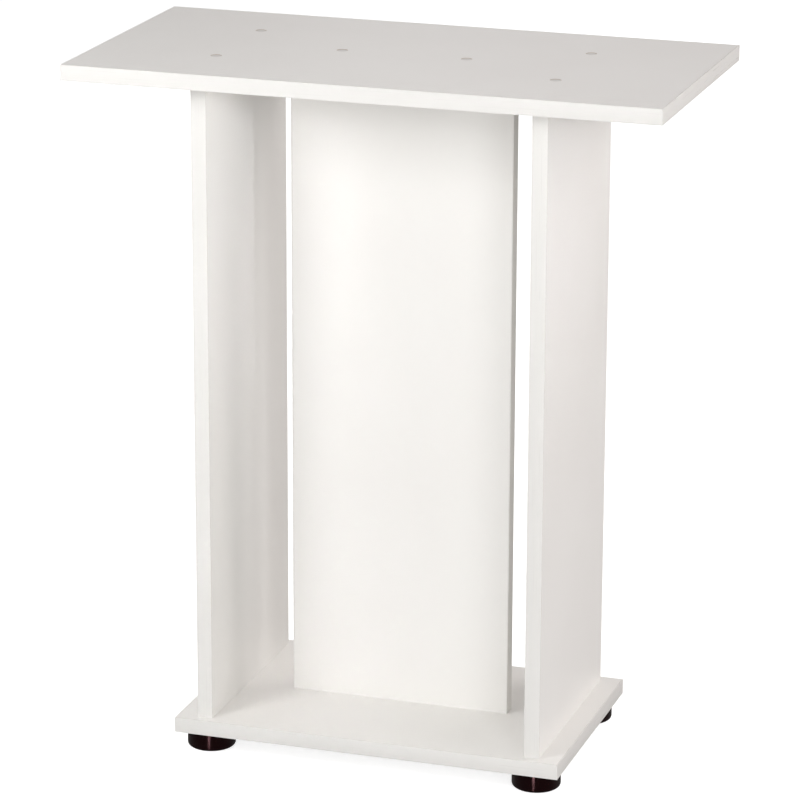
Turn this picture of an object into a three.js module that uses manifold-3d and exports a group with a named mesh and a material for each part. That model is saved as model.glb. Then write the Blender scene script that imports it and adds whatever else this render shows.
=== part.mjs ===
// A flat-pack cabinet-style stand for a small aquarium: a top board and a smaller base board joined
// by two side panels and a centre panel that stands between them, on four round plastic feet.
// Millimetres. X runs left to right, Y front to back, Z up. The origin is on the floor, below the
// middle of the stand.
import * as THREE from "three";
import { mergeVertices } from "three/addons/utils/BufferGeometryUtils.js";
import Module from "manifold-3d";

const wasm = await Module();
wasm.setup();

// Overall sizes
const STAND_HEIGHT = 720;
const TOP_LENGTH = 610;
const TOP_DEPTH = 310;
const BASE_LENGTH = 410;
const BASE_DEPTH = 254;
const BOARD = 16; // thickness of every board
const PANEL_WIDTH = 234; // the side panels and the centre panel are cut alike
const SIDE_SPACING = 350; // between the middles of the two side panels
const BAND = 1; // thickness of the plastic strip on a cut edge

// Feet
const FOOT_HEIGHT = 20;
const FOOT_RADIUS = 25;
const FOOT_INSET_X = 30; // from the base board's end to the middle of a foot
const FOOT_INSET_Y = 29;
const FOOT_ROUNDING = 3; // at the edge of the sole
const FOOT_WALL = 2.5;
const FOOT_SOLE = 3;
const FOOT_BOSS_RADIUS = 8;

// Fasteners
const GAP = 0.3; // between a fastener and its hole
const SCREW_OFFSET = 65; // from the middle of a panel's width
const DOWEL_OFFSET = 33;
const SCREW = { length: 50, head: 5, rim: 1, cone: 2.2, shank: 3.5, tip: 3, socket: 3, flats: 4 };
const CAP = { radius: 5.5, thickness: 2, below: 0.2, peg: 1.7, pegLength: 2.5 };
const BASE_SCREW_SINK = 0.3; // head face below the base board's underside
const TOP_SCREW_SINK = CAP.below + CAP.thickness + GAP;
const SCREW_BORE_DEPTH = 38; // in the ends of the panels
const DOWEL = { radius: 4, length: 30, inBoard: 11, chamfer: 0.8 };
const FOOT_SCREW = { length: 25, head: 4, cone: 2.4, shank: 2, tip: 4, inBoard: 13 };
const CROSS = { length: 4.4, width: 1, depth: 1.8 }; // driver recess in a foot screw

// Facets round the turned pieces
const FASTENER_SIDES = 16;
const CAP_SIDES = 20;
const FOOT_SIDES = 32;
const ROUNDING_STEPS = 2;

// Levels
const BASE_UNDERSIDE = FOOT_HEIGHT;
const BASE_TOP = BASE_UNDERSIDE + BOARD;
const TOP_UNDERSIDE = STAND_HEIGHT - BOARD;
const PANEL_HEIGHT = TOP_UNDERSIDE - BASE_TOP;
const PANEL_MIDDLE = (BASE_TOP + TOP_UNDERSIDE) / 2;

const MATERIALS = {
  melamine: new THREE.MeshStandardMaterial({ color: 0xe9e7e2, roughness: 0.42, metalness: 0 }),
  band: new THREE.MeshStandardMaterial({ color: 0xf1efea, roughness: 0.36, metalness: 0 }),
  foot: new THREE.MeshStandardMaterial({ color: 0x1c0f0c, roughness: 0.2, metalness: 0 }),
  cap: new THREE.MeshStandardMaterial({ color: 0xc9c7c1, roughness: 0.5, metalness: 0 }),
  zinc: new THREE.MeshStandardMaterial({ color: 0xb9bcc0, roughness: 0.35, metalness: 1 }),
  beech: new THREE.MeshStandardMaterial({ color: 0xd2a878, roughness: 0.7, metalness: 0 }),
};

// The three upright panels: where each stands, and whether its width runs along X or along Y.
const PANELS = [
  { name: "left_side_panel", short: "left", x: -SIDE_SPACING / 2, alongX: false },
  { name: "centre_panel", short: "centre", x: 0, alongX: true },
  { name: "right_side_panel", short: "right", x: SIDE_SPACING / 2, alongX: false },
];

const stand = new THREE.Group();

function addMesh(name, geometry, material, x, y, z) {
  const mesh = new THREE.Mesh(geometry, material);
  mesh.name = name;
  mesh.position.set(x, y, z);
  stand.add(mesh);
}

// A closed geometry as a solid that can be cut.
function solidOf(geometry) {
  const bare = geometry.clone();
  bare.deleteAttribute("normal");
  bare.deleteAttribute("uv");
  const merged = mergeVertices(bare, 1e-4);
  const vertProperties = merged.attributes.position.array;
  const triVerts = new Uint32Array(merged.index.array);
  return new wasm.Manifold(new wasm.Mesh({ numProp: 3, vertProperties, triVerts }));
}

function cut(geometry, cutters) {
  let solid = solidOf(geometry);
  for (const cutter of cutters) {
    solid = solid.subtract(solidOf(cutter));
  }
  const mesh = solid.getMesh();
  const result = new THREE.BufferGeometry();
  result.setAttribute("position", new THREE.BufferAttribute(mesh.vertProperties, 3));
  result.setIndex(new THREE.BufferAttribute(mesh.triVerts, 1));
  result.computeVertexNormals();
  return result;
}

// A solid of revolution about Z from [radius, height] points listed from bottom to top.
function turned(points, sides) {
  const profile = points.map(([radius, height]) => new THREE.Vector2(radius, height));
  return new THREE.LatheGeometry(profile, sides).rotateX(Math.PI / 2);
}

// Turns a fastener or a cutter end for end, so that it points up instead of down.
function upsideDown(geometry) {
  return geometry.clone().rotateX(Math.PI);
}

// ---- Fasteners ----

// A one-piece connecting screw with its head face at z = 0 and its tip down.
function connectingScrew() {
  const { length, head, rim, cone, shank, tip, socket, flats } = SCREW;
  const body = turned(
    [
      [0, -length],
      [shank / 3, -length],
      [shank, tip - length],
      [shank, -rim - cone],
      [head, -rim],
      [head, 0],
      [0, 0],
    ],
    FASTENER_SIDES,
  );
  const cornerRadius = flats / 2 / Math.cos(Math.PI / 6);
  const hexagon = new THREE.CylinderGeometry(cornerRadius, cornerRadius, 2 * socket, 6);
  return cut(body, [hexagon.rotateX(Math.PI / 2)]);
}

// The hole for that screw's head and shank through a board whose outer face is at z = 0.
function screwHole(sink, mouthRadius) {
  const { head, rim, cone, shank } = SCREW;
  return turned(
    [
      [0, -BOARD - 1],
      [shank + GAP, -BOARD - 1],
      [shank + GAP, -sink - rim - cone - GAP],
      [head + GAP, -sink - rim - GAP],
      [mouthRadius + GAP, -sink - rim - GAP],
      [mouthRadius + GAP, 1],
      [0, 1],
    ],
    FASTENER_SIDES,
  );
}

// A flat cover cap with its underside at z = 0 and its peg in the screw's socket.
function coverCap() {
  return turned(
    [
      [0, -CAP.pegLength],
      [CAP.peg, -CAP.pegLength],
      [CAP.peg, 0],
      [CAP.radius, 0],
      [CAP.radius, CAP.thickness],
      [0, CAP.thickness],
    ],
    CAP_SIDES,
  );
}

// A beech dowel standing on z = 0.
function dowel() {
  const { radius, length, chamfer } = DOWEL;
  return turned(
    [
      [0, 0],
      [radius - chamfer, 0],
      [radius, chamfer],
      [radius, length - chamfer],
      [radius - chamfer, length],
      [0, length],
    ],
    FASTENER_SIDES,
  );
}

// A countersunk wood screw with its head face at z = 0 and its tip up.
function footScrew() {
  const { length, head, cone, shank, tip } = FOOT_SCREW;
  const body = turned(
    [
      [0, 0],
      [head, 0],
      [shank, cone],
      [shank, length - tip],
      [shank / 4, length],
      [0, length],
    ],
    FASTENER_SIDES,
  );
  const slotAlongX = new THREE.BoxGeometry(CROSS.length, CROSS.width, 2 * CROSS.depth);
  const slotAlongY = new THREE.BoxGeometry(CROSS.width, CROSS.length, 2 * CROSS.depth);
  return cut(body, [slotAlongX, slotAlongY]);
}

// A round blind hole with its mouth at z = 0, going down.
function blindHole(radius, depth) {
  const height = depth + 1;
  const cutter = new THREE.CylinderGeometry(radius, radius, height, FASTENER_SIDES);
  return cutter.rotateX(Math.PI / 2).translate(0, 0, 1 - height / 2);
}

// ---- Boards ----

// The points on the plan where a panel's screws or dowels stand.
function jointPoints(panel, offset) {
  const sides = panel.alongX ? ["left", "right"] : ["front", "back"];
  return sides.map((side, index) => {
    const along = index === 0 ? -offset : offset;
    return {
      label: `${panel.short}_${side}`,
      x: panel.x + (panel.alongX ? along : 0),
      y: panel.alongX ? 0 : along,
    };
  });
}

const SCREW_POINTS = PANELS.flatMap((panel) => jointPoints(panel, SCREW_OFFSET));
const DOWEL_POINTS = PANELS.flatMap((panel) => jointPoints(panel, DOWEL_OFFSET));

const FOOT_POINTS = ["front", "back"].flatMap((depthSide) =>
  ["left", "right"].map((endSide) => ({
    label: `${depthSide}_${endSide}`,
    x: (endSide === "left" ? -1 : 1) * (BASE_LENGTH / 2 - FOOT_INSET_X),
    y: (depthSide === "front" ? -1 : 1) * (BASE_DEPTH / 2 - FOOT_INSET_Y),
  })),
);

function atPoints(cutter, points, z) {
  return points.map((point) => cutter.clone().translate(point.x, point.y, z));
}

// The four edge strips of a lying board: the long ones cover the ends of the short ones.
function addLyingBands(name, length, depth, z) {
  const long = new THREE.BoxGeometry(length, BAND, BOARD);
  const short = new THREE.BoxGeometry(BAND, depth - 2 * BAND, BOARD);
  addMesh(`${name}_front_band`, long, MATERIALS.band, 0, (BAND - depth) / 2, z);
  addMesh(`${name}_back_band`, long, MATERIALS.band, 0, (depth - BAND) / 2, z);
  addMesh(`${name}_left_band`, short, MATERIALS.band, (BAND - length) / 2, 0, z);
  addMesh(`${name}_right_band`, short, MATERIALS.band, (length - BAND) / 2, 0, z);
}

function addTopBoard() {
  const middle = TOP_UNDERSIDE + BOARD / 2;
  const core = new THREE.BoxGeometry(TOP_LENGTH - 2 * BAND, TOP_DEPTH - 2 * BAND, BOARD);
  const dowelHole = upsideDown(blindHole(DOWEL.radius + GAP, DOWEL.inBoard + GAP));
  const drilled = cut(core, [
    ...atPoints(screwHole(TOP_SCREW_SINK, CAP.radius), SCREW_POINTS, BOARD / 2),
    ...atPoints(dowelHole, DOWEL_POINTS, -BOARD / 2),
  ]);
  addMesh("top_board", drilled, MATERIALS.melamine, 0, 0, middle);
  addLyingBands("top_board", TOP_LENGTH, TOP_DEPTH, middle);
}

function addBaseBoard() {
  const middle = BASE_UNDERSIDE + BOARD / 2;
  const core = new THREE.BoxGeometry(BASE_LENGTH - 2 * BAND, BASE_DEPTH - 2 * BAND, BOARD);
  const screwFromBelow = upsideDown(screwHole(BASE_SCREW_SINK, SCREW.head));
  const dowelHole = blindHole(DOWEL.radius + GAP, DOWEL.inBoard + GAP);
  const footHole = upsideDown(blindHole(FOOT_SCREW.shank + GAP, FOOT_SCREW.inBoard + GAP));
  const drilled = cut(core, [
    ...atPoints(screwFromBelow, SCREW_POINTS, -BOARD / 2),
    ...atPoints(dowelHole, DOWEL_POINTS, BOARD / 2),
    ...atPoints(footHole, FOOT_POINTS, -BOARD / 2),
  ]);
  addMesh("base_board", drilled, MATERIALS.melamine, 0, 0, middle);
  addLyingBands("base_board", BASE_LENGTH, BASE_DEPTH, middle);
}

// An upright panel, bored at both ends, with a strip on each of its long edges.
function addPanel(panel) {
  const { name, x, alongX } = panel;
  const core = PANEL_WIDTH - 2 * BAND;
  const size = alongX ? [core, BOARD] : [BOARD, core];
  const bandSize = alongX ? [BAND, BOARD] : [BOARD, BAND];
  const board = new THREE.BoxGeometry(...size, PANEL_HEIGHT);
  const band = new THREE.BoxGeometry(...bandSize, PANEL_HEIGHT);

  const dowelDepth = DOWEL.length - DOWEL.inBoard + GAP;
  const screwBore = blindHole(SCREW.shank + GAP, SCREW_BORE_DEPTH);
  const dowelBore = blindHole(DOWEL.radius + GAP, dowelDepth);
  const screwPoints = jointPoints({ ...panel, x: 0 }, SCREW_OFFSET);
  const dowelPoints = jointPoints({ ...panel, x: 0 }, DOWEL_OFFSET);
  const end = PANEL_HEIGHT / 2;
  const drilled = cut(board, [
    ...atPoints(screwBore, screwPoints, end),
    ...atPoints(dowelBore, dowelPoints, end),
    ...atPoints(upsideDown(screwBore), screwPoints, -end),
    ...atPoints(upsideDown(dowelBore), dowelPoints, -end),
  ]);
  addMesh(name, drilled, MATERIALS.melamine, x, 0, PANEL_MIDDLE);

  const sides = alongX ? ["left", "right"] : ["front", "back"];
  sides.forEach((side, index) => {
    const along = ((index === 0 ? -1 : 1) * (PANEL_WIDTH - BAND)) / 2;
    const bandX = x + (alongX ? along : 0);
    const bandY = alongX ? 0 : along;
    addMesh(`${name}_${side}_band`, band, MATERIALS.band, bandX, bandY, PANEL_MIDDLE);
  });
}

// ---- Hardware ----

function addTopScrewsAndCaps() {
  const screw = connectingScrew();
  const cap = coverCap();
  const capUnderside = STAND_HEIGHT - CAP.below - CAP.thickness;
  for (const { label, x, y } of SCREW_POINTS) {
    addMesh(`top_screw_${label}`, screw, MATERIALS.zinc, x, y, STAND_HEIGHT - TOP_SCREW_SINK);
    addMesh(`screw_cap_${label}`, cap, MATERIALS.cap, x, y, capUnderside);
  }
}

function addBaseScrews() {
  const screw = upsideDown(connectingScrew());
  for (const { label, x, y } of SCREW_POINTS) {
    addMesh(`base_screw_${label}`, screw, MATERIALS.zinc, x, y, BASE_UNDERSIDE + BASE_SCREW_SINK);
  }
}

function addDowels() {
  const peg = dowel();
  const topDowelFoot = TOP_UNDERSIDE + DOWEL.inBoard - DOWEL.length;
  const baseDowelFoot = BASE_TOP - DOWEL.inBoard;
  for (const { label, x, y } of DOWEL_POINTS) {
    addMesh(`top_dowel_${label}`, peg, MATERIALS.beech, x, y, topDowelFoot);
    addMesh(`base_dowel_${label}`, peg, MATERIALS.beech, x, y, baseDowelFoot);
  }
}

// A moulded foot standing on z = 0: a round cup, open at the top, with a central boss for its screw.
function footBody(headFace) {
  const { head, cone, shank } = FOOT_SCREW;
  const soleEdge = FOOT_RADIUS - FOOT_ROUNDING;
  const rounding = Array.from({ length: ROUNDING_STEPS + 1 }, (_, step) => {
    const angle = (Math.PI / 2) * (step / ROUNDING_STEPS);
    return [
      soleEdge + FOOT_ROUNDING * Math.sin(angle),
      FOOT_ROUNDING * (1 - Math.cos(angle)),
    ];
  });
  const mouth = [head + GAP, 0];
  return turned(
    [
      mouth,
      ...rounding,
      [FOOT_RADIUS, FOOT_HEIGHT],
      [FOOT_RADIUS - FOOT_WALL, FOOT_HEIGHT],
      [FOOT_RADIUS - FOOT_WALL, FOOT_SOLE],
      [FOOT_BOSS_RADIUS, FOOT_SOLE],
      [FOOT_BOSS_RADIUS, FOOT_HEIGHT],
      [shank + GAP, FOOT_HEIGHT],
      [shank + GAP, headFace + cone + GAP],
      [head + GAP, headFace + GAP],
      mouth,
    ],
    FOOT_SIDES,
  );
}

function addFeet() {
  const headFace = FOOT_HEIGHT + FOOT_SCREW.inBoard - FOOT_SCREW.length;
  const body = footBody(headFace);
  const screw = footScrew();
  for (const { label, x, y } of FOOT_POINTS) {
    addMesh(`foot_${label}`, body, MATERIALS.foot, x, y, 0);
    addMesh(`foot_screw_${label}`, screw, MATERIALS.zinc, x, y, headFace);
  }
}

addTopBoard();
addBaseBoard();
PANELS.forEach(addPanel);
addTopScrewsAndCaps();
addBaseScrews();
addDowels();
addFeet();

export default stand;
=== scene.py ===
"""The looks of the flat-pack aquarium stand: finely made boards, edge bands, feet and hardware around
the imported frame, on a pale studio floor. Metres; X runs left to right, Y front to back, Z up."""
import math

import bmesh
import bpy
from mathutils import Matrix, Vector


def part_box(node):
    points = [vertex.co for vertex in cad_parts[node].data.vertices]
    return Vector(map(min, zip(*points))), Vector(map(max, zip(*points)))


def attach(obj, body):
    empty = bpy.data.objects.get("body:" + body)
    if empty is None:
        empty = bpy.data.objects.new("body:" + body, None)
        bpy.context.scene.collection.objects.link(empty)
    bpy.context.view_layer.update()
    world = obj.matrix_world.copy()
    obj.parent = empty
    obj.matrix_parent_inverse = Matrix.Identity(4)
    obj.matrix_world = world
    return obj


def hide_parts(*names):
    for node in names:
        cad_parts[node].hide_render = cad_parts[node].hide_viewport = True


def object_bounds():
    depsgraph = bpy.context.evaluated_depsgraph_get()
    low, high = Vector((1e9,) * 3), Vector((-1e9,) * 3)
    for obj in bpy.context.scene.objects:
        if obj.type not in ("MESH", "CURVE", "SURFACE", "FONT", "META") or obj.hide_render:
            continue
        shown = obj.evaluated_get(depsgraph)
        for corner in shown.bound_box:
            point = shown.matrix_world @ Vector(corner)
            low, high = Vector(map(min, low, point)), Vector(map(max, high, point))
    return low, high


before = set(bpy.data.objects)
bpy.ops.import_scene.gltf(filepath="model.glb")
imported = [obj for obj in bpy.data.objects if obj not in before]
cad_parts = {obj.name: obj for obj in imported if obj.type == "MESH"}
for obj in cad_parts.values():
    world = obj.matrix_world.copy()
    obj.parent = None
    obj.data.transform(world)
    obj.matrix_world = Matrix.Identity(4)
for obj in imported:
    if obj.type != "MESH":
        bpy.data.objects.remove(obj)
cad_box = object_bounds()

MM = 0.001
X, Y, Z = range(3)

# Rounding and clearances
BAND_ROUNDING = 0.35 * MM  # outer arrises of the edge bands
BAND_SEAM = 0.12 * MM  # the groove where a band meets the face of its board
HOLE_GAP = 0.15 * MM  # round a screw or a dowel
CAP_GAP = 0.05 * MM  # round a cap, which is a push fit
DRILLING_PAST = 1 * MM  # how far a drill runs out of the board's face

# Facets
HOLE_SIDES = 64
FOOT_SIDES = 128
CAP_SIDES = 64
SCREW_SIDES = 48
DOWEL_FLUTES = 24
SIDES_PER_FLUTE = 4
ARRIS_STEPS = 4  # facets across the rounding of a band
SHARP_ANGLE = 30  # degrees between two facets that still look like an edge
MOULDED_ANGLE = 40  # the same for moulded plastic, which is softer

# Telling edges and faces apart
SAME_PLANE = 0.01 * MM  # levels nearer than this are one plane
LONG_EDGE = 2 * MM  # an edge that goes further than this along a band is one of its long ones


# ---- Geometry ----


def middle_of(node):
    """The centre of a CAD node's box."""
    low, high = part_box(node)
    return (low + high) / 2


def nodes_named(prefix):
    """The CAD nodes whose names start so, in order."""
    return sorted(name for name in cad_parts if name.startswith(prefix))


def circle(radius, height, sides):
    """A level ring of points."""
    turn = 2 * math.pi / sides
    return [
        Vector((radius * math.cos(i * turn), radius * math.sin(i * turn), height))
        for i in range(sides)
    ]


def shaped_ring(radius_at, height, sides):
    """A level ring whose radius depends on the angle."""
    turn = 2 * math.pi / sides
    return [
        Vector((radius_at(i * turn) * math.cos(i * turn), radius_at(i * turn) * math.sin(i * turn), height))
        for i in range(sides)
    ]


def skin(rings, closes=False):
    """A closed surface through rings with the same number of points. The end rings are filled, or
    joined to each other when the section closes on itself."""
    surface = bmesh.new()
    loops = [[surface.verts.new(point) for point in ring] for ring in rings]
    followers = loops[1:] + (loops[:1] if closes else [])
    for here, there in zip(loops, followers):
        for i in range(len(here)):
            j = (i + 1) % len(here)
            surface.faces.new((here[i], here[j], there[j], there[i]))
    if not closes:
        surface.faces.new(list(reversed(loops[0])))
        surface.faces.new(loops[-1])
    bmesh.ops.recalc_face_normals(surface, faces=surface.faces)
    return surface


def arc(centre, radius, start, end, steps):
    """Points [across, up] on a quarter-round or similar, angles in degrees."""
    angles = [math.radians(start + (end - start) * i / steps) for i in range(steps + 1)]
    return [(centre[0] + radius * math.cos(a), centre[1] + radius * math.sin(a)) for a in angles]


def mesh_of(name, surface, materials, sharp_above=SHARP_ANGLE):
    """Turns a bmesh into a smooth-shaded mesh with those materials."""
    mesh = bpy.data.meshes.new(name)
    surface.to_mesh(mesh)
    surface.free()
    for material in materials:
        mesh.materials.append(material)
    mesh.shade_smooth()
    mesh.set_sharp_from_angle(angle=math.radians(sharp_above))
    return mesh


def place(name, mesh, location=(0, 0, 0), upside_down=False):
    """A new object in the scene."""
    piece = bpy.data.objects.new(name, mesh)
    bpy.context.scene.collection.objects.link(piece)
    piece.location = location
    if upside_down:
        piece.rotation_euler = (math.pi, 0, 0)
    return piece


def stand_in(piece, node):
    """The piece rides on the stand and takes the place of a CAD node."""
    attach(piece, "root")
    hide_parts(node)


# ---- Materials ----


def new_material(name, settings):
    """A Principled material with plain values on its own sockets."""
    material = bpy.data.materials.new(name)
    material.use_nodes = True
    shader = material.node_tree.nodes["Principled BSDF"]
    for socket, value in settings.items():
        shader.inputs[socket].default_value = value
    return material


def noise(material, scale, detail=2.0, stretch=(1, 1, 1)):
    """Noise in the object's own metres: scale is features per metre."""
    tree = material.node_tree
    coordinates = tree.nodes.new("ShaderNodeTexCoord")
    mapping = tree.nodes.new("ShaderNodeMapping")
    texture = tree.nodes.new("ShaderNodeTexNoise")
    mapping.inputs["Scale"].default_value = stretch
    texture.inputs["Scale"].default_value = scale
    texture.inputs["Detail"].default_value = detail
    tree.links.new(coordinates.outputs["Object"], mapping.inputs["Vector"])
    tree.links.new(mapping.outputs["Vector"], texture.inputs["Vector"])
    return texture.outputs["Fac"]


def rescale(material, value, low, high, start=0.3, end=0.7):
    """A value from start to end becomes a number from low to high."""
    node = material.node_tree.nodes.new("ShaderNodeMapRange")
    node.inputs["From Min"].default_value = start
    node.inputs["From Max"].default_value = end
    node.inputs["To Min"].default_value = low
    node.inputs["To Max"].default_value = high
    material.node_tree.links.new(value, node.inputs["Value"])
    return node.outputs["Result"]


def colour_mix(material, share, first, second):
    """A colour between the first and the second, by share."""
    node = material.node_tree.nodes.new("ShaderNodeMix")
    node.data_type = "RGBA"
    node.inputs["A"].default_value = (*first, 1)
    node.inputs["B"].default_value = (*second, 1)
    material.node_tree.links.new(share, node.inputs["Factor"])
    return node.outputs["Result"]


def drive(material, socket, value):
    """Feeds a node's output into a socket of the material's shader."""
    shader = material.node_tree.nodes["Principled BSDF"]
    material.node_tree.links.new(value, shader.inputs[socket])


def add_bump(material, height, depth, strength=1.0):
    """Relief of that depth in metres on top of any relief that is there already."""
    tree = material.node_tree
    shader = tree.nodes["Principled BSDF"]
    bump = tree.nodes.new("ShaderNodeBump")
    bump.inputs["Strength"].default_value = strength
    bump.inputs["Distance"].default_value = depth
    tree.links.new(height, bump.inputs["Height"])
    if shader.inputs["Normal"].is_linked:
        tree.links.new(shader.inputs["Normal"].links[0].from_socket, bump.inputs["Normal"])
    tree.links.new(bump.outputs["Normal"], shader.inputs["Normal"])


def melamine_material():
    """White melamine paper pressed with a fine pearl relief."""
    material = new_material("melamine", {"Specular IOR Level": 0.45})
    drift = noise(material, 5, 3)
    tint = rescale(material, drift, 0, 1)
    drive(material, "Base Color", colour_mix(material, tint, (0.865, 0.85, 0.825), (0.89, 0.88, 0.855)))
    pearl = noise(material, 900, 2)
    drive(material, "Roughness", rescale(material, pearl, 0.36, 0.48))
    add_bump(material, pearl, 0.02 * MM)
    add_bump(material, noise(material, 120, 2), 0.015 * MM)
    return material


def band_material(axis):
    """Extruded plastic strip with faint draw lines along its length."""
    stretch = [1, 1, 1]
    stretch["xyz".index(axis)] = 0.01
    material = new_material(f"edge_band_{axis}", {"Specular IOR Level": 0.5})
    drift = rescale(material, noise(material, 4, 2), 0, 1)
    drive(material, "Base Color", colour_mix(material, drift, (0.79, 0.78, 0.755), (0.815, 0.805, 0.78)))
    lines = noise(material, 1500, 2, stretch)
    drive(material, "Roughness", rescale(material, lines, 0.27, 0.38))
    add_bump(material, lines, 0.008 * MM)
    return material


def chipboard_material():
    """The raw core of the boards, seen only inside the drilled holes and at the covered ends."""
    material = new_material("chipboard", {"Roughness": 0.9})
    chips = material.node_tree.nodes.new("ShaderNodeTexVoronoi")
    chips.inputs["Scale"].default_value = 450
    shade = rescale(material, noise(material, 700, 4), 0, 1)
    drive(material, "Base Color", colour_mix(material, shade, (0.30, 0.19, 0.10), (0.56, 0.40, 0.24)))
    add_bump(material, chips.outputs["Distance"], 0.3 * MM)
    return material


def foot_material():
    """Glossy injection-moulded plastic, nearly black with a wine tint. The turned mould leaves fine
    rings that draw a highlight out upright."""
    material = new_material(
        "foot_plastic",
        {
            "Specular IOR Level": 0.3,
            "Specular Tint": (1.0, 0.5, 0.55, 1),
            "Anisotropic": 1.0,
            "Anisotropic Rotation": 0.25,
        },
    )
    drift = rescale(material, noise(material, 60, 2), 0, 1)
    wine = (0.0025, 0.0003, 0.0003)
    lighter_wine = (0.004, 0.0005, 0.0005)
    drive(material, "Base Color", colour_mix(material, drift, wine, lighter_wine))
    drive(material, "Roughness", rescale(material, noise(material, 300, 3), 0.22, 0.26))
    add_bump(material, noise(material, 160, 1), 0.003 * MM)
    return material


def cap_material():
    """Light grey moulded plastic with a fine spark-eroded texture."""
    material = new_material("cap_plastic", {"Specular IOR Level": 0.4})
    drift = rescale(material, noise(material, 150, 2), 0, 1)
    drive(material, "Base Color", colour_mix(material, drift, (0.70, 0.685, 0.655), (0.735, 0.72, 0.695)))
    grain = noise(material, 2600, 2)
    drive(material, "Roughness", rescale(material, grain, 0.45, 0.6))
    add_bump(material, grain, 0.01 * MM)
    return material


def zinc_material():
    """Bright zinc-plated steel with faint colour drift from the passivation."""
    material = new_material("zinc_plate", {"Metallic": 1.0})
    drift = rescale(material, noise(material, 250, 2), 0, 1)
    drive(material, "Base Color", colour_mix(material, drift, (0.60, 0.61, 0.63), (0.68, 0.66, 0.60)))
    grain = noise(material, 1800, 3)
    drive(material, "Roughness", rescale(material, grain, 0.24, 0.42))
    add_bump(material, grain, 0.008 * MM)
    return material


def beech_material():
    """Turned beech: pale reddish brown with short darker flecks along the grain."""
    material = new_material("beech", {"Roughness": 0.65})
    grain = noise(material, 900, 3, (1, 1, 0.08))
    fleck = rescale(material, grain, 0, 1, 0.42, 0.68)
    drive(material, "Base Color", colour_mix(material, fleck, (0.66, 0.45, 0.27), (0.42, 0.24, 0.12)))
    add_bump(material, grain, 0.05 * MM)
    return material


MELAMINE = melamine_material()
CHIPBOARD = chipboard_material()
BANDS = {axis: band_material(axis) for axis in "xyz"}
FOOT_PLASTIC = foot_material()
CAP_PLASTIC = cap_material()
ZINC = zinc_material()
BEECH = beech_material()


# ---- Boards ----

CAP_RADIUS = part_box("screw_cap_left_front")[1].x - middle_of("screw_cap_left_front").x
HEAD_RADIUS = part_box("top_screw_left_front")[1].x - middle_of("top_screw_left_front").x
HEAD_RIM = 1.0 * MM  # upright edge of a connecting screw's head
HEAD_CONE = 2.2 * MM  # the countersunk part after the rim
SHANK_RADIUS = 3.5 * MM
DOWEL_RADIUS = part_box("top_dowel_left_front")[1].x - middle_of("top_dowel_left_front").x
FOOT_PILOT_RADIUS = 2.0 * MM
BORE_PAST_TIP = 1.5 * MM


def drill(profile, middle):
    """Rings of a cutter: profile holds (radius, height) pairs, and middle is the hole's axis."""
    return [
        [point + Vector((middle.x, middle.y, 0)) for point in circle(radius, height, HOLE_SIDES)]
        for radius, height in profile
    ]


def straight_hole(node, radius, past_start=0.0, past_end=0.0):
    """A plain hole along a fastener, past its lower and upper end by those lengths."""
    low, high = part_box(node)
    return drill([(radius, low.z - past_start), (radius, high.z + past_end)], middle_of(node))


def seated_hole(node, face, into_board, mouth_radius):
    """A countersunk through hole for a connecting screw's head. face is the height of the board's
    outer face, and into_board is 1 where the board lies above it and -1 where it lies below.
    mouth_radius is the hole's radius between that face and the end of the head's rim."""
    low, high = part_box(node)
    head_face = low.z if into_board > 0 else high.z
    tip = high.z if into_board > 0 else low.z
    rim = head_face + into_board * (HEAD_RIM + HOLE_GAP)
    cone = rim + into_board * HEAD_CONE
    profile = [
        (mouth_radius, face - into_board * DRILLING_PAST),
        (mouth_radius, rim),
        (HEAD_RADIUS + HOLE_GAP, rim),
        (SHANK_RADIUS + HOLE_GAP, cone),
        (SHANK_RADIUS + HOLE_GAP, tip),
    ]
    return drill(profile, middle_of(node))


def joined(surfaces):
    """Several closed surfaces as one mesh."""
    whole = bmesh.new()
    for surface in surfaces:
        part = bpy.data.meshes.new("part")
        surface.to_mesh(part)
        surface.free()
        whole.from_mesh(part)
        bpy.data.meshes.remove(part)
    return whole


def block(low, high):
    """A box between two corners, which bevels or holes shape further."""
    surface = bmesh.new()
    bmesh.ops.create_cube(surface, size=1)
    size = high - low
    bmesh.ops.scale(surface, vec=size, verts=surface.verts)
    bmesh.ops.translate(surface, vec=(low + high) / 2, verts=surface.verts)
    return surface


def carve(piece, cutter):
    """Cuts the cutter's shape out of the piece's mesh."""
    modifier = piece.modifiers.new("holes", "BOOLEAN")
    modifier.operation = "DIFFERENCE"
    modifier.solver = "EXACT"
    modifier.object = cutter
    graph = bpy.context.evaluated_depsgraph_get()
    carved = bpy.data.meshes.new_from_object(piece.evaluated_get(graph))
    piece.modifiers.clear()
    piece.data = carved
    bpy.data.objects.remove(cutter)


def paint_faces(mesh, low, high, thickness_axis):
    """Melamine on the two wide faces, raw chipboard on the rest."""
    mesh.materials.clear()
    mesh.materials.append(MELAMINE)
    mesh.materials.append(CHIPBOARD)
    for face in mesh.polygons:
        level = face.center[thickness_axis]
        on_face = min(abs(level - low[thickness_axis]), abs(level - high[thickness_axis])) < SAME_PLANE
        face.material_index = 0 if on_face else 1


def make_board(node, thickness_axis, holes):
    """A board the size of its CAD node, drilled with those holes."""
    low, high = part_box(node)
    piece = place(f"{node}_melamine", mesh_of(node + "_core", block(low, high), []))
    cutter_mesh = mesh_of(node + "_holes", joined([skin(hole) for hole in holes]), [])
    carve(piece, place(node + "_cutter", cutter_mesh))
    paint_faces(piece.data, low, high, thickness_axis)
    piece.data.shade_smooth()
    piece.data.set_sharp_from_angle(angle=math.radians(SHARP_ANGLE))
    stand_in(piece, node)


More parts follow.
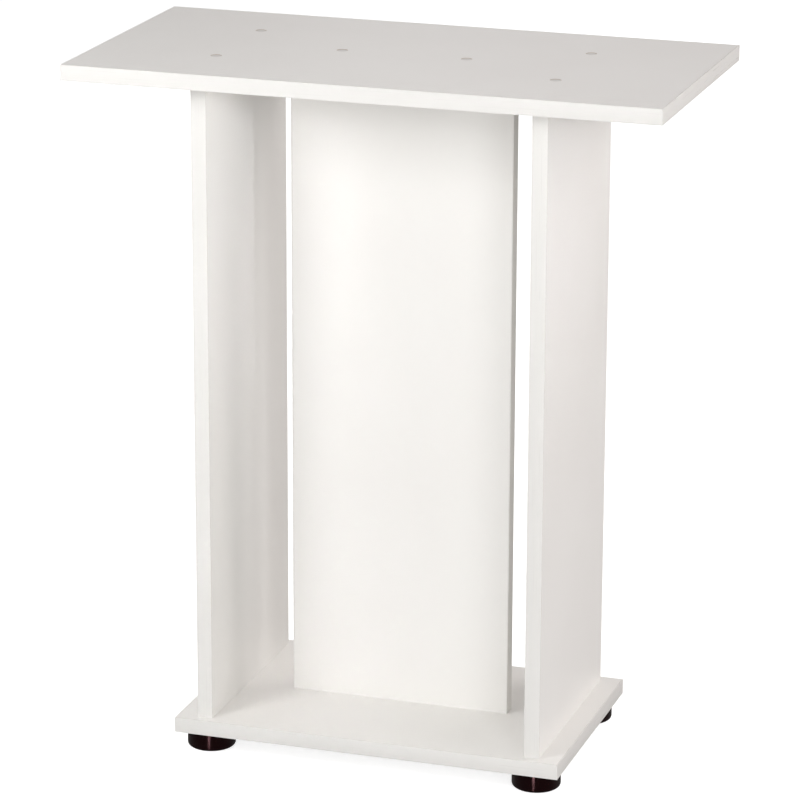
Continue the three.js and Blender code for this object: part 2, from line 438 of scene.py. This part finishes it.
def make_boards():
    """The five boards. Each is drilled for the fasteners that pass through or end in it."""
    top_screws = nodes_named("top_screw_")
    base_screws = nodes_named("base_screw_")
    top_dowels = nodes_named("top_dowel_")
    base_dowels = nodes_named("base_dowel_")
    foot_screws = nodes_named("foot_screw_")
    dowel_bore = DOWEL_RADIUS + HOLE_GAP
    screw_bore = SHANK_RADIUS + HOLE_GAP

    stand_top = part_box("top_board")[1].z
    base_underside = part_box("base_board")[0].z
    make_board(
        "top_board",
        Z,
        [seated_hole(node, stand_top, -1, CAP_RADIUS + CAP_GAP) for node in top_screws]
        + [straight_hole(node, dowel_bore, DRILLING_PAST, HOLE_GAP) for node in top_dowels],
    )
    make_board(
        "base_board",
        Z,
        [seated_hole(node, base_underside, 1, HEAD_RADIUS + HOLE_GAP) for node in base_screws]
        + [straight_hole(node, dowel_bore, HOLE_GAP, DRILLING_PAST) for node in base_dowels]
        + [straight_hole(node, FOOT_PILOT_RADIUS + HOLE_GAP, 0, HOLE_GAP) for node in foot_screws],
    )
    for panel, fastener_side, thickness_axis in (
        ("left_side_panel", "left", X),
        ("centre_panel", "centre", Y),
        ("right_side_panel", "right", X),
    ):
        own_top = [node for node in top_screws if f"_screw_{fastener_side}_" in node]
        own_base = [node for node in base_screws if f"_screw_{fastener_side}_" in node]
        own_dowels = [node for node in top_dowels + base_dowels if f"_dowel_{fastener_side}_" in node]
        make_board(
            panel,
            thickness_axis,
            [straight_hole(node, screw_bore, BORE_PAST_TIP, 0) for node in own_top]
            + [straight_hole(node, screw_bore, 0, BORE_PAST_TIP) for node in own_base]
            + [straight_hole(node, dowel_bore, HOLE_GAP, HOLE_GAP) for node in own_dowels],
        )


# ---- Edge bands ----


def on_level(edge, axis, level):
    """Whether both ends of an edge lie in the plane where that axis has that value."""
    return all(abs(vert.co[axis] - level) < SAME_PLANE for vert in edge.verts)


def runs_along(edge, axis):
    """Whether an edge runs in the direction of that axis."""
    return abs(edge.verts[0].co[axis] - edge.verts[1].co[axis]) > LONG_EDGE


def bevel(surface, edges, width, segments):
    """Rounds those edges, or chamfers them where there is one segment."""
    bmesh.ops.bevel(
        surface,
        geom=edges,
        offset=width,
        segments=segments,
        profile=0.5,
        affect="EDGES",
        clamp_overlap=True,
    )


def make_band(node, outward_axis, outward_sign, length_axis, rounded_ends=False):
    """A strip with rounded outer arrises and a hair-fine groove against its board."""
    low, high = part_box(node)
    surface = block(low, high)
    outer = high[outward_axis] if outward_sign > 0 else low[outward_axis]
    inner = low[outward_axis] if outward_sign > 0 else high[outward_axis]
    seams = [e for e in surface.edges if on_level(e, outward_axis, inner) and runs_along(e, length_axis)]
    bevel(surface, seams, BAND_SEAM, 1)
    arrises = [
        e
        for e in surface.edges
        if on_level(e, outward_axis, outer) and (rounded_ends or runs_along(e, length_axis))
    ]
    bevel(surface, arrises, BAND_ROUNDING, ARRIS_STEPS)
    mesh = mesh_of(node + "_strip", surface, [BANDS["xyz"[length_axis]]])
    piece = place(node + "_strip", mesh)
    stand_in(piece, node)


def make_bands():
    """Four bands round the top and base boards, and two on the long edges of each panel."""
    for board in ("top_board", "base_board"):
        make_band(f"{board}_front_band", Y, -1, X, rounded_ends=True)
        make_band(f"{board}_back_band", Y, 1, X, rounded_ends=True)
        make_band(f"{board}_left_band", X, -1, Y)
        make_band(f"{board}_right_band", X, 1, Y)
    for panel in ("left_side_panel", "right_side_panel"):
        make_band(f"{panel}_front_band", Y, -1, Z)
        make_band(f"{panel}_back_band", Y, 1, Z)
    make_band("centre_panel_left_band", X, -1, Z)
    make_band("centre_panel_right_band", X, 1, Z)


# ---- Feet ----


def foot_mesh():
    """A round cup with a thick sole, standing on z = 0, with a boss for its screw."""
    low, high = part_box("foot_front_left")
    radius = (high.x - low.x) / 2
    height = high.z - low.z
    rounding = 4 * MM  # of the edge at the sole
    rim = 0.5 * MM  # rounding of the edge at the top
    wall = 2.5 * MM
    sole = 3 * MM
    boss_radius = 8 * MM
    shaft_radius = 2.2 * MM  # the hole for the screw's shank
    mouth_radius = 4.4 * MM  # the hole for its head
    mouth_chamfer = 0.3 * MM
    seat_height = 2.6 * MM  # from the head's face to the end of the countersink
    ring_outer = radius - rounding - 3 * MM  # a moulded ring in the sole
    ring_inner = radius - rounding - 5 * MM
    ring_slope = 0.4 * MM
    ring_depth = 0.25 * MM
    head_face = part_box("foot_screw_front_left")[0].z
    profile = [(mouth_radius, mouth_chamfer), (mouth_radius + mouth_chamfer, 0)]
    profile += [(ring_inner, 0), (ring_inner + ring_slope, ring_depth)]
    profile += [(ring_outer - ring_slope, ring_depth), (ring_outer, 0)]
    profile += arc((radius - rounding, rounding), rounding, -90, 0, steps=10)
    profile += arc((radius - rim, height - rim), rim, 0, 90, steps=3)
    profile += [(radius - wall, height), (radius - wall, sole), (boss_radius, sole), (boss_radius, height)]
    profile += [(shaft_radius, height), (shaft_radius, head_face + seat_height)]
    profile += [(mouth_radius, head_face + mouth_chamfer)]
    rings = [circle(r, z, FOOT_SIDES) for r, z in profile]
    return mesh_of("foot", skin(rings, closes=True), [FOOT_PLASTIC], MOULDED_ANGLE)


def make_feet():
    """The four feet share one mesh."""
    mesh = foot_mesh()
    for node in nodes_named("foot_back_") + nodes_named("foot_front_"):
        middle = middle_of(node)
        piece = place(node + "_moulding", mesh, (middle.x, middle.y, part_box(node)[0].z))
        stand_in(piece, node)


# ---- Hardware ----

THREAD_START = 0.1 * MM  # how far below the plain shank the thread begins
THREAD_ANGLE = 35  # degrees between facets that look like an edge on a screw
PEG_LENGTH = 2.5 * MM  # of a cover cap
PEG_FLATS = 3.3 * MM  # across its hexagon


def polygon_radius(flats, sides):
    """The radius, at an angle, of a regular polygon with that distance across its flats."""
    sector = 2 * math.pi / sides

    def radius_at(angle):
        off_flat = (angle + sector / 2) % sector - sector / 2
        return flats / 2 / math.cos(off_flat)

    return radius_at


def cross_radius(arm_length, arm_width):
    """The radius, at an angle, of a cross-shaped recess."""
    nearly_zero = 1e-6

    def radius_at(angle):
        off_arm = (angle + math.pi / 4) % (math.pi / 2) - math.pi / 4
        end = arm_length / 2 / math.cos(off_arm)
        side = arm_width / 2 / max(abs(math.sin(off_arm)), nearly_zero)
        return min(end, side)

    return radius_at


def threaded_rings(core, crest, pitch, start, end, taper, sides):
    """Rings of a screw thread from height start down to end, tapering to a point at the end."""
    steps_per_turn = 12
    tip = 0.25  # the tip's radius as a share of the core's
    ridge_half_width = 0.22  # as a share of the pitch
    count = round((start - end) / pitch * steps_per_turn)
    rings = []
    for step in range(count + 1):
        height = start + (end - start) * step / count
        body = min(1.0, tip + (1 - tip) * (height - end) / taper)
        fade_in = min(1.0, (start - height) / pitch)

        def radius_at(angle, height=height, body=body, fade_in=fade_in):
            phase = (height / pitch - angle / (2 * math.pi)) % 1
            ridge = max(0.0, 1 - abs(phase - 0.5) / ridge_half_width)
            return body * (core + (crest - core) * ridge * fade_in)

        rings.append(shaped_ring(radius_at, height, sides))
    return rings


def connecting_screw_mesh():
    """A one-piece connecting screw with a hexagon socket, its head face at z = 0 and its tip down."""
    low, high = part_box("top_screw_left_front")
    length = high.z - low.z
    core = 2.5 * MM  # radius at the thread's root
    pitch = 3 * MM
    taper = 5 * MM  # length of the point
    plain = 13 * MM  # of the shank, below the head face
    run_out = 0.8 * MM  # from the plain shank down to the core
    socket_depth = 2.9 * MM
    drill_point = 0.4 * MM  # the shallow cone at the socket's floor
    drill_tip = 0.3 * MM
    socket_chamfer = 0.2 * MM
    head_easing = 0.3 * MM
    hexagon = polygon_radius(4 * MM, 6)
    rings = [
        circle(drill_tip, -socket_depth - drill_point, SCREW_SIDES),
        shaped_ring(hexagon, -socket_depth, SCREW_SIDES),
        shaped_ring(hexagon, -socket_chamfer, SCREW_SIDES),
        shaped_ring(lambda angle: hexagon(angle) + socket_chamfer, 0, SCREW_SIDES),
        circle(HEAD_RADIUS - head_easing, 0, SCREW_SIDES),
        circle(HEAD_RADIUS - head_easing / 3, -head_easing / 3, SCREW_SIDES),
        circle(HEAD_RADIUS, -head_easing, SCREW_SIDES),
        circle(HEAD_RADIUS, -HEAD_RIM, SCREW_SIDES),
        circle(SHANK_RADIUS, -HEAD_RIM - HEAD_CONE, SCREW_SIDES),
        circle(SHANK_RADIUS, -plain + run_out, SCREW_SIDES),
        circle(core, -plain, SCREW_SIDES),
    ]
    rings += threaded_rings(core, SHANK_RADIUS, pitch, -plain - THREAD_START, -length, taper, SCREW_SIDES)
    return mesh_of("connecting_screw", skin(rings), [ZINC], THREAD_ANGLE)


def foot_screw_mesh():
    """A countersunk wood screw with a cross recess, its head face at z = 0 and its tip down."""
    low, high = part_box("foot_screw_front_left")
    length = high.z - low.z
    head = (high.x - low.x) / 2
    core = 1.3 * MM  # radius at the thread's root
    shank = 2 * MM
    pitch = 1.8 * MM
    taper = 4 * MM  # length of the point
    head_height = 2.4 * MM
    neck = 3.2 * MM  # where the thread starts, below the head face
    recess_depth = 1.8 * MM
    recess_chamfer = 0.1 * MM
    head_easing = 0.2 * MM
    recess = cross_radius(4.2 * MM, 1 * MM)
    recess_floor = cross_radius(2.4 * MM, 0.8 * MM)
    rings = [
        shaped_ring(recess_floor, -recess_depth, SCREW_SIDES),
        shaped_ring(recess, -recess_chamfer, SCREW_SIDES),
        shaped_ring(lambda angle: recess(angle) + recess_chamfer, 0, SCREW_SIDES),
        circle(head - head_easing, 0, SCREW_SIDES),
        circle(head, -head_easing, SCREW_SIDES),
        circle(shank, -head_height, SCREW_SIDES),
        circle(core, -neck, SCREW_SIDES),
    ]
    rings += threaded_rings(core, shank, pitch, -neck - THREAD_START, -length, taper, SCREW_SIDES)
    return mesh_of("foot_screw", skin(rings), [ZINC], THREAD_ANGLE)


def cap_mesh():
    """A flat cover cap with an eased rim and a hexagonal peg, its underside at z = 0."""
    low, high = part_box("screw_cap_left_front")
    thickness = high.z - low.z - PEG_LENGTH
    easing = 0.35 * MM
    peg_point = 0.3 * MM  # how much slimmer the peg's end is
    peg_lead_in = 0.4 * MM
    peg = polygon_radius(PEG_FLATS, 6)
    rings = [
        shaped_ring(lambda angle: peg(angle) - peg_point, -PEG_LENGTH, CAP_SIDES),
        shaped_ring(peg, -PEG_LENGTH + peg_lead_in, CAP_SIDES),
        shaped_ring(peg, 0, CAP_SIDES),
        circle(CAP_RADIUS, 0, CAP_SIDES),
    ]
    shoulder = arc((CAP_RADIUS - easing, thickness - easing), easing, 0, 90, steps=4)
    rings += [circle(r, z, CAP_SIDES) for r, z in shoulder]
    return mesh_of("screw_cap", skin(rings), [CAP_PLASTIC], MOULDED_ANGLE)


def dowel_mesh():
    """A fluted dowel standing on z = 0, its ends chamfered."""
    low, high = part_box("top_dowel_left_front")
    length = high.z - low.z
    chamfer = 0.8 * MM
    flute_depth = 0.25 * MM
    flute_narrowness = 3
    sides = DOWEL_FLUTES * SIDES_PER_FLUTE

    def fluted(shrink):
        def radius_at(angle):
            flute = (0.5 + 0.5 * math.cos(DOWEL_FLUTES * angle)) ** flute_narrowness
            return DOWEL_RADIUS - shrink - flute_depth * flute

        return radius_at

    rings = [
        shaped_ring(fluted(chamfer), 0, sides),
        shaped_ring(fluted(0), chamfer, sides),
        shaped_ring(fluted(0), length - chamfer, sides),
        shaped_ring(fluted(chamfer), length, sides),
    ]
    return mesh_of("dowel", skin(rings), [BEECH])


def make_hardware():
    """The screws, caps and dowels. Alike ones share a mesh."""
    screw = connecting_screw_mesh()
    for node in nodes_named("top_screw_"):
        middle = middle_of(node)
        head_face = (middle.x, middle.y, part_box(node)[1].z)
        piece = place(node + "_threaded", screw, head_face)
        stand_in(piece, node)
    for node in nodes_named("base_screw_"):
        middle = middle_of(node)
        head_face = (middle.x, middle.y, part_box(node)[0].z)
        piece = place(node + "_threaded", screw, head_face, upside_down=True)
        stand_in(piece, node)

    foot_screw = foot_screw_mesh()
    for node in nodes_named("foot_screw_"):
        middle = middle_of(node)
        head_face = (middle.x, middle.y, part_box(node)[0].z)
        piece = place(node + "_threaded", foot_screw, head_face, upside_down=True)
        stand_in(piece, node)

    cap = cap_mesh()
    for node in nodes_named("screw_cap_"):
        middle = middle_of(node)
        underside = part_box(node)[0].z + PEG_LENGTH
        piece = place(node + "_plug", cap, (middle.x, middle.y, underside))
        stand_in(piece, node)

    dowel = dowel_mesh()
    for node in nodes_named("top_dowel_") + nodes_named("base_dowel_"):
        middle = middle_of(node)
        piece = place(node + "_fluted", dowel, (middle.x, middle.y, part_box(node)[0].z))
        stand_in(piece, node)


# ---- Studio ----

FLOOR_RADIUS = 40
FLOOR_SIDES = 64
FLOOR_WHITE = 0.65  # share of the light that the floor throws back
FLOOR_GLOW = 0.8  # what the camera sees of the lit paper on top of that
WORLD_STRENGTH = 0.21
NEUTRAL = (1, 1, 1)
ROSE = (1, 0.955, 0.945)
FAINT_ROSE = (1, 0.975, 0.965)
EVERY_WAY = 180  # degrees, the spread of a light without a grid


def make_floor():
    """A large sheet of pale paper. It is clear from below, so that the underside can be seen."""
    surface = bmesh.new()
    bmesh.ops.create_circle(surface, cap_ends=True, radius=FLOOR_RADIUS, segments=FLOOR_SIDES)
    bmesh.ops.translate(surface, vec=(0, 0, cad_box[0].z), verts=surface.verts)
    material = new_material("paper", {"Base Color": (FLOOR_WHITE,) * 3 + (1,), "Roughness": 0.9})
    tree = material.node_tree
    shader = tree.nodes["Principled BSDF"]
    shader.inputs["Specular IOR Level"].default_value = 0.1
    output = tree.nodes["Material Output"]
    glow = tree.nodes.new("ShaderNodeEmission")
    glow.inputs["Strength"].default_value = FLOOR_GLOW
    seen = tree.nodes.new("ShaderNodeAddShader")
    path = tree.nodes.new("ShaderNodeLightPath")
    lit = tree.nodes.new("ShaderNodeMixShader")
    clear = tree.nodes.new("ShaderNodeBsdfTransparent")
    side = tree.nodes.new("ShaderNodeNewGeometry")
    both = tree.nodes.new("ShaderNodeMixShader")
    tree.links.new(shader.outputs["BSDF"], seen.inputs[0])
    tree.links.new(glow.outputs["Emission"], seen.inputs[1])
    tree.links.new(path.outputs["Is Camera Ray"], lit.inputs["Fac"])
    tree.links.new(shader.outputs["BSDF"], lit.inputs[1])
    tree.links.new(seen.outputs["Shader"], lit.inputs[2])
    tree.links.new(side.outputs["Backfacing"], both.inputs["Fac"])
    tree.links.new(lit.outputs["Shader"], both.inputs[1])
    tree.links.new(clear.outputs["BSDF"], both.inputs[2])
    tree.links.new(both.outputs["Shader"], output.inputs["Surface"])
    floor = place("studio_floor", mesh_of("studio_floor", surface, [material]))
    floor.visible_glossy = False


def make_world():
    """A dim even light from all round."""
    world = bpy.data.worlds.new("studio")
    world.use_nodes = True
    sky = world.node_tree.nodes["Background"]
    sky.inputs["Color"].default_value = (*FAINT_ROSE, 1)
    sky.inputs["Strength"].default_value = WORLD_STRENGTH
    bpy.context.scene.world = world


def make_light(
    name,
    azimuth,
    elevation,
    distance,
    width,
    height,
    power,
    colour=NEUTRAL,
    aim=None,
    spread=EVERY_WAY,
    seen="matt",
):
    """A softbox of that width and height, with its power in watts. It stands at an azimuth from the
    front, towards +X, and an elevation, in degrees, and a distance from the middle of the stand. It
    points there, or at aim, and a grid can narrow its spread, in degrees. seen is "matt" where it only
    lights surfaces, "gloss" where it is only mirrored in them, or "both"."""
    middle = (cad_box[0] + cad_box[1]) / 2
    turn = math.radians(azimuth)
    rise = math.radians(elevation)
    away = Vector((math.sin(turn) * math.cos(rise), -math.cos(turn) * math.cos(rise), math.sin(rise)))
    lamp = bpy.data.lights.new(name, "AREA")
    lamp.shape = "RECTANGLE"
    lamp.size = width
    lamp.size_y = height
    lamp.energy = power
    lamp.color = colour
    lamp.spread = math.radians(spread)
    light = bpy.data.objects.new(name, lamp)
    bpy.context.scene.collection.objects.link(light)
    light.location = middle + away * distance
    backwards = light.location - (middle if aim is None else Vector(aim))
    light.rotation_euler = backwards.to_track_quat("Z", "Y").to_euler()
    light.visible_camera = False
    light.visible_diffuse = seen != "gloss"
    light.visible_glossy = seen != "matt"


def make_studio():
    """A strip in front, a key light from the front right, fills from the sides and behind, and narrow
    gridded lights where the bay, the base and the feet need more."""
    make_floor()
    make_world()
    make_light("front_strip", 5.5, 2, 5.0, 0.2, 0.7, 50)
    make_light("foot_gleam", 5.5, 2, 5.0, 0.9, 0.7, 2.6, aim=(0, -0.15, 0.01), spread=20, seen="gloss")
    make_light("key", 36, 17.3, 3.35, 0.7, 0.7, 19.8)
    make_light("left_front", -35, 32, 1.7, 0.5, 0.5, 11.2)
    make_light("bay_spot", 60, 14, 3.35, 0.5, 0.5, 0.16, aim=(-0.17, -0.08, 0.66), spread=10)
    make_light("base_spot", -4, 50, 3.3, 0.2, 0.2, 0.035, aim=(-0.13, -0.02, 0.036), spread=8)
    make_light("right_side", 75, 4, 1.5, 0.4, 0.4, 3.7, ROSE)
    make_light("left_side", -95, 20, 3.2, 1.6, 1.6, 30)
    make_light("back_right", 120, 28, 3.2, 1.6, 1.4, 35, ROSE, seen="both")
    make_light("back", 180, 35, 3.2, 2.4, 1.4, 17.5, ROSE, seen="both")
    make_light("low_back", 180, 0, 4.5, 0.5, 0.5, 30)
    make_light("low_left", -90, 0, 3.5, 0.5, 0.5, 6)


# ---- Camera ----

LENS = 177.6  # mm
SENSOR_WIDTH = 36  # mm
CAMERA_PLACE = Vector((1.1902, -3.6639, 1.5346))
CAMERA_TURN = 18.04  # degrees to the left of the stand's depth axis
CAMERA_DOWN = 16.94  # degrees below the horizontal
CAMERA_TILT = 0.2  # degrees
VIEW_DEPTH = 100  # how far the camera sees, past the floor's edge


def make_camera():
    """A long lens from the front right, looking down a little."""
    data = bpy.data.cameras.new("camera")
    data.lens = LENS
    data.sensor_width = SENSOR_WIDTH
    data.clip_end = VIEW_DEPTH
    camera = bpy.data.objects.new("camera", data)
    bpy.context.scene.collection.objects.link(camera)
    turn = Matrix.Rotation(math.radians(CAMERA_TURN), 4, "Z")
    tip = Matrix.Rotation(math.radians(90 - CAMERA_DOWN), 4, "X")
    roll = Matrix.Rotation(math.radians(CAMERA_TILT), 4, "Z")
    camera.matrix_world = Matrix.Translation(CAMERA_PLACE) @ turn @ tip @ roll
    bpy.context.scene.camera = camera
    bpy.context.scene.view_settings.view_transform = "Standard"


make_camera()
make_boards()
make_bands()
make_feet()
make_hardware()
make_studio()
